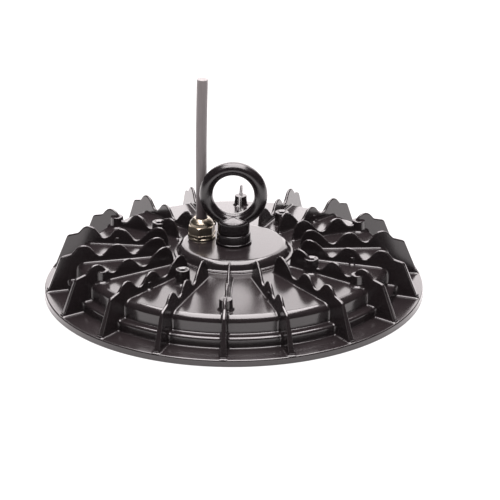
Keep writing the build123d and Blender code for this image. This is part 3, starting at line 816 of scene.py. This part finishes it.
def rounded_hexagon(across_flats, low, high, bore, edge_round):
    """A hexagonal ring whose outer edges are rounded, above and below."""
    reach = across_flats / math.sqrt(3) + 1
    bm = turned_piece([(bore, low), (reach, low), (reach, high), (bore, high)], 96, closed=True)
    hexagon_cut(bm, across_flats, GLAND_TURN)
    flats = across_flats / 2 * MM * 0.99
    rims = []
    for edge in bm.edges:
        level = abs(edge.verts[0].co.z - edge.verts[1].co.z) < 1e-7
        outside = min(vert.co.xy.length for vert in edge.verts) > flats
        if level and outside:
            rims.append(edge)
    bmesh.ops.bevel(
        bm,
        geom=rims,
        offset=edge_round * MM,
        offset_type="OFFSET",
        segments=3,
        profile=0.5,
        affect="EDGES",
        material=-1,
    )
    return bm


class HIGHBAY_OT_gland(bpy.types.Operator):
    """Build the cable gland's body and clamp nut"""

    bl_idname = "highbay.gland"
    bl_label = "Cable Gland"

    def execute(self, context):
        low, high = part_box("gland_clamp_nut")
        centre = Vector(((low[0] + high[0]) / 2, (low[1] + high[1]) / 2, 0))
        nut_base, nut_top = CLAMP_HEXAGON
        mouth_radius, mouth_z = CLAMP_MOUTH
        nut = turned_piece(
            [
                (8.1, nut_base),
                *hexagon_edge(nut_base, 1),
                *hexagon_edge(nut_top, -1),
                (9.4, nut_top + 0.2, 0.2),
                (9.2, nut_top + 2.6, 1.8),
                (*CLAMP_SHOULDER, 1.6),
                (mouth_radius, mouth_z, 0.5),
                (4.75, mouth_z, 0.3),
                (4.75, mouth_z - 1.0),
                (5.4, mouth_z - 1.4),
                (8.1, nut_base + 3.6),
            ],
            96,
            closed=True,
        )
        hexagon_cut(nut, GLAND_FLATS, GLAND_TURN)
        bmesh.ops.translate(nut, verts=nut.verts, vec=centre)
        place_piece(nut, "gland_dome", "nickel_brass", replaced=["gland_clamp_nut"], sharp_angle=25.0)
        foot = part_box("gland_body")[0][2] / MM
        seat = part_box("gland_o_ring")[1][2] / MM
        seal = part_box("gland_seal_insert")[0][2] / MM
        flange_radius, flange_low, flange_top = GLAND_FLANGE
        body = turned_piece(
            [
                (4.9, foot),
                (7.3, foot),
                (7.9, foot + 0.6),
                (7.9, seat),
                (9.2, seat),
                (9.2, flange_low),
                (flange_radius, flange_low, 0.2),
                (flange_radius, flange_top, 1.4),
                (9.0, GLAND_BODY[0]),
                (6.5, GLAND_BODY[0]),
                (6.5, min(seal, flange_top)),
                (4.9, min(seal, flange_top)),
            ],
            96,
            closed=True,
        )
        merge_into(body, rounded_hexagon(GLAND_BODY_FLATS, *GLAND_BODY, 6.5, 0.55))
        bmesh.ops.translate(body, verts=body.verts, vec=centre)
        place_piece(body, "gland_hexagon", "nickel_brass", replaced=["gland_body"], sharp_angle=25.0)
        return {"FINISHED"}


class HIGHBAY_OT_cable(bpy.types.Operator):
    """Lay the short mains cable along its route"""

    bl_idname = "highbay.cable"
    bl_label = "Mains Cable"

    def execute(self, context):
        settings = context.scene.highbay_cable
        curve = bpy.data.curves.new("mains_cable_sheath", "CURVE")
        curve.dimensions = "3D"
        spline = curve.splines.new("NURBS")
        spline.points.add(len(CABLE_ROUTE) - 1)
        for point, place in zip(spline.points, CABLE_ROUTE):
            point.co = (*place, 1.0)
        spline.order_u = 3
        spline.use_endpoint_u = True
        spline.resolution_u = 16
        curve.bevel_depth = settings.diameter / 2 - 0.02 * MM
        curve.bevel_resolution = 10
        curve.use_fill_caps = True
        curve.materials.append(finish("cable_sheath"))
        cable = bpy.data.objects.new("mains_cable_sheath", curve)
        context.scene.collection.objects.link(cable)
        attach(cable, "root")
        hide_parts("mains_cable")
        return {"FINISHED"}


class HIGHBAY_OT_finishes(bpy.types.Operator):
    """Give every part that stays as it is its finish"""

    bl_idname = "highbay.finishes"
    bl_label = "Finishes"

    def execute(self, context):
        for row in frame["record"]["subparts"]:
            node = frame["nodes"][row["node"]]
            node.data.materials.clear()
            node.data.materials.append(finish(row["material_slot"]))
        return {"FINISHED"}


def studio_world(ambient, mirrored):
    """Room: white to the camera and through clear parts, dark in reflections, soft light elsewhere."""
    world = bpy.data.worlds.new("studio")
    world.use_nodes = True
    tree = world.node_tree
    tree.nodes.clear()
    rays = add(tree, "ShaderNodeLightPath")
    seen = add(
        tree,
        "ShaderNodeMath",
        links={0: rays.outputs["Is Camera Ray"], 1: rays.outputs["Is Transmission Ray"]},
        operation="MAXIMUM",
    )
    room = add(tree, "ShaderNodeBackground", {"Color": linear("#ffffff"), "Strength": ambient})
    dark = add(tree, "ShaderNodeBackground", {"Color": linear("#ffffff"), "Strength": mirrored})
    white = add(tree, "ShaderNodeBackground", {"Color": linear("#ffffff"), "Strength": 1.0})
    unlit = add(
        tree,
        "ShaderNodeMixShader",
        links={0: rays.outputs["Is Glossy Ray"], 1: room.outputs[0], 2: dark.outputs[0]},
    )
    mixed = add(
        tree,
        "ShaderNodeMixShader",
        links={0: seen.outputs[0], 1: unlit.outputs[0], 2: white.outputs[0]},
    )
    output = tree.nodes.new("ShaderNodeOutputWorld")
    tree.links.new(mixed.outputs[0], output.inputs["Surface"])
    bpy.context.scene.world = world


def floor_material(colour):
    """Pale seamless paper: white to the camera, with the object's shadow kept."""
    material, tree = empty_material("seamless_paper")
    rays = add(tree, "ShaderNodeLightPath")
    fibre = grain(tree, 2.0, 3.0)
    paper = add(
        tree,
        "ShaderNodeBsdfDiffuse",
        {"Color": colour},
        {"Normal": bumped(tree, fibre.outputs["Fac"], 0.05, 0.2)},
    )
    glow = add(tree, "ShaderNodeEmission", {"Color": linear("#ffffff"), "Strength": 1.0})
    share = add(tree, "ShaderNodeMath", {1: 0.8}, {0: rays.outputs["Is Camera Ray"]}, operation="MULTIPLY")
    mixed = add(
        tree,
        "ShaderNodeMixShader",
        links={0: share.outputs[0], 1: paper.outputs[0], 2: glow.outputs[0]},
    )
    end_material(tree, mixed.outputs[0])
    return material


def softbox(name, place, aim, size, power, colour="#fff8f9"):
    """A square area lamp that points at a place."""
    lamp = bpy.data.lights.new(name, "AREA")
    lamp.shape = "RECTANGLE"
    lamp.size, lamp.size_y = size
    lamp.energy = power
    lamp.color = linear(colour)[:3]
    holder = bpy.data.objects.new(name, lamp)
    holder.location = place
    holder.rotation_euler = (Vector(aim) - Vector(place)).to_track_quat("-Z", "Y").to_euler()
    bpy.context.scene.collection.objects.link(holder)


def photo_camera():
    """The camera at the photograph's place, turned so that the row's origin falls on its pixel."""
    azimuth, elevation = math.radians(CAMERA_AZIMUTH), math.radians(CAMERA_ELEVATION)
    back = Vector(
        (math.sin(azimuth) * math.cos(elevation), -math.cos(azimuth) * math.cos(elevation), math.sin(elevation))
    )
    right = Vector((math.cos(azimuth), math.sin(azimuth), 0))
    up = back.cross(right)
    roll = math.radians(CAMERA_ROLL)
    right, up = right * math.cos(roll) + up * math.sin(roll), up * math.cos(roll) - right * math.sin(roll)
    forward = -back
    yaw = math.atan((ORIGIN_PIXEL[0] - PICTURE_SIDE / 2) / CAMERA_FOCAL_PIXELS)
    pitch = math.atan((ORIGIN_PIXEL[1] - PICTURE_SIDE / 2) / CAMERA_FOCAL_PIXELS)
    right, forward = right * math.cos(yaw) + forward * math.sin(yaw), forward * math.cos(yaw) - right * math.sin(yaw)
    up, forward = up * math.cos(pitch) - forward * math.sin(pitch), up * math.sin(pitch) + forward * math.cos(pitch)
    data = bpy.data.cameras.new("photo_camera")
    data.sensor_width = 36.0
    data.lens = CAMERA_FOCAL_PIXELS / PICTURE_SIDE * data.sensor_width
    data.clip_end = 20.0
    camera = bpy.data.objects.new("photo_camera", data)
    turned = Matrix((right, up, -forward)).transposed().to_4x4()
    camera.matrix_world = Matrix.Translation(back * CAMERA_DISTANCE) @ turned
    bpy.context.scene.collection.objects.link(camera)
    bpy.context.scene.camera = camera


class HIGHBAY_OT_stage(bpy.types.Operator):
    """Set the floor, the lamps, the room and the camera"""

    bl_idname = "highbay.stage"
    bl_label = "Stage"

    def execute(self, context):
        settings = context.scene.highbay_stage
        bm = bmesh.new()
        bmesh.ops.create_grid(bm, x_segments=1, y_segments=1, size=4.0)
        mesh = bpy.data.meshes.new("floor")
        bm.to_mesh(mesh)
        bm.free()
        mesh.materials.append(floor_material(settings.floor_colour))
        floor = bpy.data.objects.new("floor", mesh)
        context.scene.collection.objects.link(floor)
        studio_world(settings.ambient, settings.mirrored)
        softbox("top_softbox", (0, 0.12, 1.5), (0, 0.12, 0), (1.4, 2.05), settings.top_light)
        softbox("rear_softbox", (0.1, 2.0, 1.0), (0, 0, 0.05), (2.6, 1.9), settings.back_light)
        photo_camera()
        context.scene.view_settings.view_transform = "Standard"
        return {"FINISHED"}


class HIGHBAY_PT_panel(bpy.types.Panel):
    """Lists the pieces of the light"""

    bl_idname = "HIGHBAY_PT_panel"
    bl_label = "High Bay Light"
    bl_space_type = "VIEW_3D"
    bl_region_type = "UI"
    bl_category = "High Bay"

    def draw(self, context):
        layout = self.layout
        for group in GROUPS:
            settings = getattr(context.scene, group)
            box = layout.box()
            for name in settings.__annotations__:
                box.prop(settings, name)
        for operator in OPERATORS:
            layout.operator(operator.bl_idname)


GROUPS = {
    "highbay_casting": HighBayCastingSettings,
    "highbay_eye": HighBayEyeSettings,
    "highbay_cable": HighBayCableSettings,
    "highbay_stage": HighBayStageSettings,
}
OPERATORS = (
    HIGHBAY_OT_finishes,
    HIGHBAY_OT_casting,
    HIGHBAY_OT_eye_bolt,
    HIGHBAY_OT_gland,
    HIGHBAY_OT_cable,
    HIGHBAY_OT_stage,
)


def register():
    for name, group in GROUPS.items():
        bpy.utils.register_class(group)
        setattr(bpy.types.Scene, name, PointerProperty(type=group))
    for operator in OPERATORS:
        bpy.utils.register_class(operator)
    bpy.utils.register_class(HIGHBAY_PT_panel)


def unregister():
    bpy.utils.unregister_class(HIGHBAY_PT_panel)
    for operator in reversed(OPERATORS):
        bpy.utils.unregister_class(operator)
    for name, group in reversed(GROUPS.items()):
        delattr(bpy.types.Scene, name)
        bpy.utils.unregister_class(group)


def main():
    """Builds the pieces in order."""
    register()
    bpy.ops.highbay.finishes()
    bpy.ops.highbay.casting()
    bpy.ops.highbay.eye_bolt()
    bpy.ops.highbay.gland()
    bpy.ops.highbay.cable()
    bpy.ops.highbay.stage()


if __name__ == "__main__":
    main()
